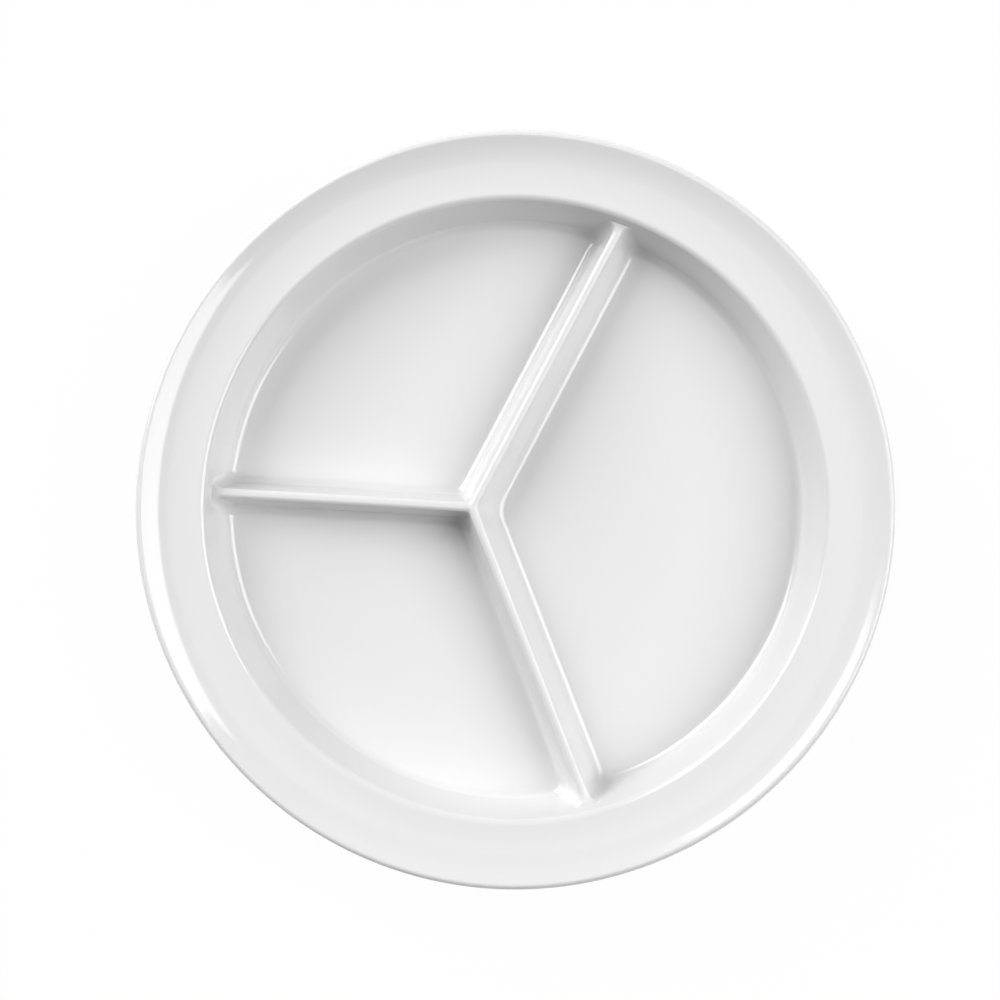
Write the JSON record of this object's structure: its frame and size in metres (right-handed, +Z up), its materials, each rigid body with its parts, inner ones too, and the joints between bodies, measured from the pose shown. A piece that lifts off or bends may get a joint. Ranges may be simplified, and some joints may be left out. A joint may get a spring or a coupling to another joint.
{
  "type": "divided compartment plate",
  "caption": "Round rigid plate with a raised rim and straight dividers that split its well into one large and two smaller compartments, standing on a low foot ring.",
  "frame": {"origin": "middle of the foot ring's standing face, on the plate's axis of revolution", "axes": "+Z up, out of the plate's well; +X along the middle of the large compartment, away from the short divider; +Y towards the far side compartment"},
  "size_m": [0.254, 0.254, 0.0309],
  "materials": {
    "glazed_white": "smooth, glossy white moulded melamine"
  },
  "bodies": {
    "root": {"rim": "glazed_white", "well_wall": "glazed_white", "main_floor": "glazed_white", "far_side_floor": "glazed_white", "near_side_floor": "glazed_white", "far_divider": "glazed_white", "near_divider": "glazed_white", "short_divider": "glazed_white", "divider_hub": "glazed_white", "foot_ring": "glazed_white"}
  },
  "joints": []
}
